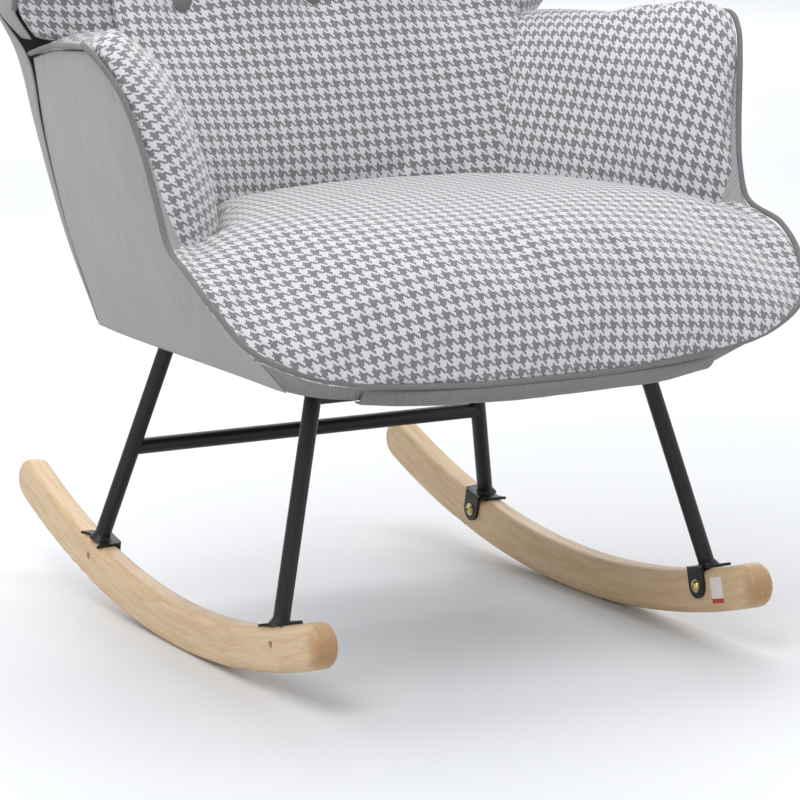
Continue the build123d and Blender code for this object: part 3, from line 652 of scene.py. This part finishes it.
seat_grid = surface([both_halves(row) for row in SEAT_ROWS], 64, 72)[::-1]
seat_roll = np.interp(np.linspace(0, 1, 64), [0.0, 0.38, 0.55, 1.0],
                      [FRONT_ROLL, FRONT_ROLL, SIDE_ROLL, SIDE_ROLL])[:, None]
seat_grid = seam_roll(unevenness(seat_grid, 0.0022, 0.11, 3.0), seat_roll)
seat_grid = swollen("seat_cushion", seat_grid, 3.0, 0.008, 0.02)
seat = piece("seat_cushion_cover", seat_grid, rim_sheet(seat_grid, (0, 0, -0.05)), check_cloth,
             ("seat_cushion", "front_edge_roll"), level_row=32)

# ---------------------------------------------------------------- arm pads

# Columns from the back pad round the front roll to the piping, each from the seat up over the top.
ARM_COLUMNS = [
    [(163, 78, 420), (178, 91, 490), (192, 104, 535), (209, 122, 578), (233, 154, 606), (262, 200, 613),
     (298, 238, 594)],
    [(200, 6, 420), (214, 12, 490), (226, 24, 535), (240, 40, 578), (258, 56, 608), (288, 70, 625),
     (334, 75, 617)],
    [(231, -54, 420), (244, -48, 490), (256, -38, 535), (270, -24, 578), (288, -10, 612), (316, -8, 635),
     (355, -20, 625)],
    [(253, -106, 420), (264, -103, 490), (276, -97, 532), (292, -86, 574), (313, -74, 611), (342, -66, 638),
     (373, -67, 629)],
    [(290, -136, 424), (299, -132, 488), (308, -125, 526), (320, -116, 562), (337, -105, 592),
     (353, -98, 610), (368, -85, 617)],
    [(332, -155, 440), (334, -143, 474), (338, -134, 505), (343, -126, 534), (349, -118, 560),
     (353, -112, 575), (357, -107, 584)]]

arm_rows = [list(row) for row in zip(*ARM_COLUMNS)]
arm_grid = surface(arm_rows, 56, 64)
arm_grid = unevenness(arm_grid, 0.0016, 0.09, 7.0)
for side, arm_side_grid in (("right", arm_grid), ("left", mirrored(arm_grid))):
    padded_grid = seam_roll(arm_side_grid, 0.007)
    padded_grid = swollen("arm_pad_" + side, padded_grid, 3.0, 0.005, 0.015)
    arm = piece("arm_pad_cover_" + side, padded_grid, rim_sheet(padded_grid, (0, 0, 0)), check_cloth,
                ("arm_pad_" + side,), level_row=34)

# ---------------------------------------------------------------- back cushion and wings

# Half rows of the back pad, from the seat up: middle, a quarter out and its edge.
BACK_ROWS = [
    [(0, 96, 420), (96, 87, 420), (188, 56, 420)], [(0, 116, 500), (105, 108, 500), (206, 76, 500)],
    [(0, 135, 560), (116, 128, 560), (226, 102, 560)], [(0, 152, 610), (122, 148, 610), (240, 136, 610)],
    [(0, 176, 700), (122, 173, 700), (236, 176, 700)], [(0, 210, 800), (118, 208, 800), (230, 215, 800)],
    [(0, 244, 890), (108, 244, 890), (211, 250, 890)], [(0, 268, 940), (96, 268, 938), (184, 274, 930)],
    [(0, 290, 962), (90, 290, 960), (172, 292, 953)], [(0, 315, 961), (88, 315, 960), (168, 311, 955)]]
BUTTONS = [(-156, 646), (0, 646), (156, 646), (-80, 772), (80, 772)]
TUFT_DEPTH = 0.015
TUFT_REACH = 0.034
PLEAT_DEPTH = 0.005
PLEAT_REACH = 0.011


def distance_to_pleat(x, z, start, end):
    """Distance in the XZ plane from a point to the pleat between two buttons."""
    run = np.array(end) - np.array(start)
    share = np.clip(((x - start[0]) * run[0] + (z - start[1]) * run[1]) / (run @ run), 0, 1)
    return np.hypot(x - start[0] - share * run[0], z - start[1] - share * run[1])


def tufted(grid):
    """Draw the pad in at each button, with a soft pleat to each near button."""
    x, z = grid[..., 0], grid[..., 2]
    places = [(bx * MM, bz * MM) for bx, bz in BUTTONS]
    drawn = np.zeros(x.shape)
    for number, start in enumerate(places):
        away = np.hypot(x - start[0], z - start[1])
        drawn += TUFT_DEPTH * np.exp(-(away / TUFT_REACH) ** 2)
        for end in places[number + 1:]:
            if 0.01 < abs(start[1] - end[1]) and abs(start[0] - end[0]) < 0.1:
                drawn += PLEAT_DEPTH * np.exp(-(distance_to_pleat(x, z, start, end) / PLEAT_REACH) ** 2)
    return grid - grid_normals(grid) * drawn[..., None]


back_grid = surface([both_halves(row) for row in BACK_ROWS], 90, 80)
back_grid = unevenness(back_grid, 0.0022, 0.12, 11.0)
back_grid = seam_roll(back_grid, 0.012)
back_grid = swollen("back_cushion", back_grid, 2.0, 0.006, 0.015)
back_grid = tufted(back_grid)
back_pad = piece("back_cushion_cover", back_grid, rim_sheet(back_grid, (0, 0.055, 0)), check_cloth,
                 ("back_cushion",), level_row=30)

# Wing rows from the arm up: where the pad leaves the back, two points across it, and round the tip.
WING_ROWS = [
    [(218, 156, 604), (250, 164, 602), (276, 188, 602), (294, 214, 602), (300, 226, 604)],
    [(218, 172, 640), (260, 172, 640), (294, 186, 640), (318, 202, 640), (327, 214, 640)],
    [(218, 190, 700), (265, 178, 700), (303, 170, 700), (328, 166, 700), (338, 175, 700)],
    [(216, 210, 760), (265, 188, 760), (306, 166, 760), (331, 145, 760), (342, 153, 760)],
    [(207, 238, 830), (255, 216, 830), (298, 190, 830), (328, 163, 830), (339, 171, 830)],
    [(192, 266, 900), (233, 250, 900), (268, 236, 900), (300, 217, 902), (313, 224, 900)],
    [(161, 288, 938), (196, 277, 938), (226, 270, 940), (252, 262, 942), (264, 268, 942)],
    [(150, 304, 950), (178, 300, 951), (204, 296, 952), (230, 290, 951), (243, 290, 948)]]

wing_grid = surface(WING_ROWS, 56, 34)
for side, wing_side_grid in (("right", wing_grid), ("left", mirrored(wing_grid))):
    padded_grid = seam_roll(unevenness(wing_side_grid, 0.0015, 0.08, 17.0), 0.008)
    padded_grid = swollen("wing_pad_" + side, padded_grid, 2.5, 0.006, 0.015)
    wing = piece("wing_pad_cover_" + side, padded_grid, rim_sheet(padded_grid, (0, 0.02, 0)), check_cloth,
                 ("wing_pad_" + side,), level_row=20)

# ---------------------------------------------------------------- outer skins

SKIN = 0.003
FRONT_SEAM = 11
PUCKER = 0.0012
PIPING_SEAT = 2.0


def inward_plan(point):
    """Unit direction in plan from a point of the body towards its middle."""
    toward = np.array([-point[0], -(point[1] + 20.0), 0.0])
    return toward / np.linalg.norm(toward)


def skin_net(start, stop):
    """Rows of the outer skin from its bottom edge up to the piping, pushed out between them."""
    net = []
    for t, bulge in ((0.0, 0.0), (0.3, 9.0), (0.65, 10.0), (1.0, 0.0)):
        row = []
        for (x, y), top in zip(BOTTOM_LINE[start:stop], piping_line[start:stop]):
            bottom = np.array([x, y, SHELL_BOTTOM_Z])
            top = np.array([top[0], top[1], top[2] - PIPING_SEAT])
            point = bottom + (top - bottom) * t
            row.append(tuple(point - inward_plan(point) * bulge * (top[2] - bottom[2]) / 300))
        net.append(row)
    return net


def puckered(grid, seed):
    """Small gathers that run down from the piping, and slower waves over the whole skin."""
    from_top = border_distance(grid, ("last_row",))
    waves = np.array([[noise.noise(Vector((p[0], p[1], p[2] * 0.25)) * 38 + Vector((seed, 0, 0)))
                       for p in row] for row in grid])
    slow = np.array([[noise.noise(Vector(p) * 11 + Vector((seed, 5, 0))) for p in row] for row in grid])
    height = PUCKER * waves * np.exp(-from_top / 0.05) + 0.0022 * slow
    fade = np.minimum(border_distance(grid, BORDERS) / 0.012, 1.0)
    return grid + grid_normals(grid) * (height * fade)[..., None]


def skin(name, grid, material, replaced, level_row, seed):
    """A stiff cloth skin of even thickness."""
    grid = puckered(grid, seed)
    back = grid - grid_normals(grid) * SKIN
    return piece(name, grid, back, material, replaced, level_row=level_row)


side_grid = surface(skin_net(0, FRONT_SEAM + 1), 40, 90)[:, ::-1]
skin("side_skin_right", side_grid, shell_cloth, ("side_shell_right",), 20, 21.0)
skin("side_skin_left", mirrored(side_grid), shell_cloth, ("side_shell_left",), 20, 23.0)

band_half = skin_net(FRONT_SEAM, 18)
band_net = [row + [(-x, y, z) for x, y, z in reversed(row[:-1])] for row in band_half]
skin("front_band_skin", surface(band_net, 14, 110)[:, ::-1], band_cloth, ("front_band",), 7, 29.0)

BACK_HALF_WIDTHS = ((303, 238), (390, 264), (450, 279), (520, 293), (592, 305), (640, 328), (700, 339),
                    (800, 341), (860, 330), (900, 313), (925, 293), (942, 266), (953, 238), (960, 175))
WING_BOTTOM_Z = 605


def corner_y(z):
    """How far forward the back skin wraps round the corner, just past the side or wing skin's edge."""
    return 208 + 0.058 * (z - SHELL_BOTTOM_Z) if z < WING_BOTTOM_Z else rear_y(z) - 12


back_skin_net = []
for z, half in BACK_HALF_WIDTHS:
    row = [(half * step / 4, rear_y(z) + 10 - 10 * (abs(step) / 4) ** 2, z) for step in range(-4, 5)]
    back_skin_net.append([(-half, corner_y(z), z)] + row + [(half, corner_y(z), z)])
# The top edge folds forward over the back frame to the pad's seam.
back_skin_net.append([(x * 0.98, 300, 958) for x, _, _ in back_skin_net[-1]])
skin("back_skin", surface(back_skin_net, 60, 50)[:, ::-1], shell_cloth, ("back_shell",), 30, 31.0)

wing_skin_net = []
for row in WING_ROWS:
    tip = row[-1]
    rear = rear_y(tip[2]) - 2
    wing_skin_net.append([(tip[0], tip[1], tip[2]), (tip[0] + 4, (tip[1] * 2 + rear) / 3, tip[2]),
                          (tip[0] + 3, (tip[1] + rear * 2) / 3, tip[2]), (tip[0] - 2, rear, tip[2])])
wing_skin_grid = surface(wing_skin_net, 44, 14)
skin("wing_skin_right", wing_skin_grid, shell_cloth, ("wing_shell_right",), 20, 37.0)
skin("wing_skin_left", mirrored(wing_skin_grid), shell_cloth, ("wing_shell_left",), 20, 41.0)

# ---------------------------------------------------------------- piping, flap and buttons

PIPING_RADIUS = 0.0030


def whole_path(half):
    """A path on both sides from its +X half, which ends on the middle plane."""
    return list(half) + [(-x, y, z) for x, y, z in reversed(half[:-1])]


raised = []
for point in piping_line:
    x, y, z = np.array(point) - inward_plan(point) * 2.0
    raised.append((x, y, z))
tube("arm_and_seat_piping_cord", curve(whole_path(raised), 420), PIPING_RADIUS, piping_cloth,
     ("arm_and_seat_piping",))

wing_edge = [(row[-1][0] + 1, row[-1][1] - 1, row[-1][2]) for row in WING_ROWS[1:-1]]
back_edge = wing_edge + [(236, 292, 956), (190, 308, 962), (100, 316, 964), (0, 318, 965)]
tube("back_piping_cord", curve(whole_path(back_edge), 300), PIPING_RADIUS, piping_cloth,
     ("back_piping",))


BUTTON_RADIUS = 0.014
BUTTON_RISE = 0.0065
BUTTON_SKIRT = 0.003


def covered_button(name, x, z):
    """A cloth-covered button sunk in its tuft."""
    row = int(np.argmin(np.abs(back_grid[:, 40, 2] - z * MM)))
    column = int(np.argmin(np.abs(back_grid[row, :, 0] - x * MM)))
    normal = Vector(grid_normals(back_grid)[row, column])
    rings, sides = 7, 28
    points = []
    for ring in range(rings):
        share = (ring + 1) / rings
        radius = BUTTON_RADIUS * sin(share * pi / 2)
        height = BUTTON_RISE * cos(share * pi / 2) - (BUTTON_SKIRT if ring == rings - 1 else 0.0)
        points += [(radius * cos(2 * pi * k / sides), radius * sin(2 * pi * k / sides), height)
                   for k in range(sides)]
    points += [(0, 0, BUTTON_RISE + 0.0001), (0, 0, -BUTTON_SKIRT)]
    faces = []
    last = (rings - 1) * sides
    for start in range(0, last, sides):
        for k in range(sides):
            after = (k + 1) % sides
            faces.append((start + k, start + sides + k, start + sides + after, start + after))
    faces += [(rings * sides, k, (k + 1) % sides) for k in range(sides)]
    faces += [(rings * sides + 1, last + (k + 1) % sides, last + k) for k in range(sides)]
    mesh = bpy.data.meshes.new(name)
    mesh.from_pydata(points, [], faces)
    turn = normal.to_track_quat("Z", "Y").to_matrix().to_4x4()
    mesh.transform(Matrix.Translation(Vector(back_grid[row, column]) + normal * 0.002) @ turn)
    mesh.materials.append(piping_cloth)
    shade_smooth(mesh)
    made = new_object(name, mesh)
    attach(made, "root")
    return made


for number, (button_x, button_z) in enumerate(BUTTONS, 1):
    button = covered_button(f"back_button_{number}", button_x, button_z)
    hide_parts("back_buttons")

# The folded strip under the front: from just below the piping, down and back in under the body.
FLAP_ROWS = [[(0, -320, 308), (75, -318, 309), (150, -313, 312), (203, -304, 317)],
             [(0, -322, 302), (75, -320, 303), (150, -313, 305), (203, -301, 309)],
             [(0, -317, 295), (75, -315, 295), (150, -308, 297), (203, -294, 301)],
             [(0, -306, 293), (75, -304, 293), (150, -297, 295), (203, -284, 300)]]
flap_net = [both_halves(row) for row in FLAP_ROWS]
skin("front_flap_skin", surface(flap_net, 14, 90), band_cloth, ("front_flap",), 7, 43.0)


# ---------------------------------------------------------------- studio

def area_light(name, place, target, size, power):
    """A square soft light aimed at a point."""
    data = bpy.data.lights.new(name, "AREA")
    data.size = size
    data.energy = power
    lamp = bpy.data.objects.new(name, data)
    lamp.location = place
    lamp.rotation_euler = (Vector(target) - Vector(place)).to_track_quat("-Z", "Y").to_euler()
    bpy.context.scene.collection.objects.link(lamp)


FLOOR_HALF = 9.0
floor_mesh = bpy.data.meshes.new("studio_floor")
floor_mesh.from_pydata([(x, y, 0.0) for x, y in ((-1, -1), (1, -1), (1, 1), (-1, 1))], [], [(0, 1, 2, 3)])
floor_mesh.transform(Matrix.Diagonal((FLOOR_HALF, FLOOR_HALF, 1.0, 1.0)))
floor = bpy.data.objects.new("studio_floor", floor_mesh)
bpy.context.scene.collection.objects.link(floor)
floor_paint = Shader("floor_paint", Roughness=0.55)
floor_cloud = floor_paint.noise(floor_paint.coords("Object"), 0.8, 3.0)
floor_mesh.materials.append(floor_paint.finish(
    floor_paint.ramp(floor_cloud, (0.3, (0.72, 0.73, 0.75)), (0.7, (0.77, 0.78, 0.795)))))

bpy.context.scene.view_settings.view_transform = "Standard"
world = bpy.data.worlds.new("studio")
world.use_nodes = True
world.node_tree.nodes["Background"].inputs["Color"].default_value = (0.96, 0.975, 1.0, 1.0)
world.node_tree.nodes["Background"].inputs["Strength"].default_value = 0.75
bpy.context.scene.world = world
area_light("key", (-1.8, -1.2, 3.0), (0, 0, 0.4), 2.0, 45.0)
area_light("fill", (2.6, -1.8, 2.0), (0, 0, 0.4), 2.5, 12.0)
area_light("top", (0.2, 1.3, 3.2), (0, 0.1, 0.3), 2.5, 52.0)
area_light("backdrop", (2.9, 5.4, 3.0), (2.9, 5.4, 0.0), 4.0, 100.0)
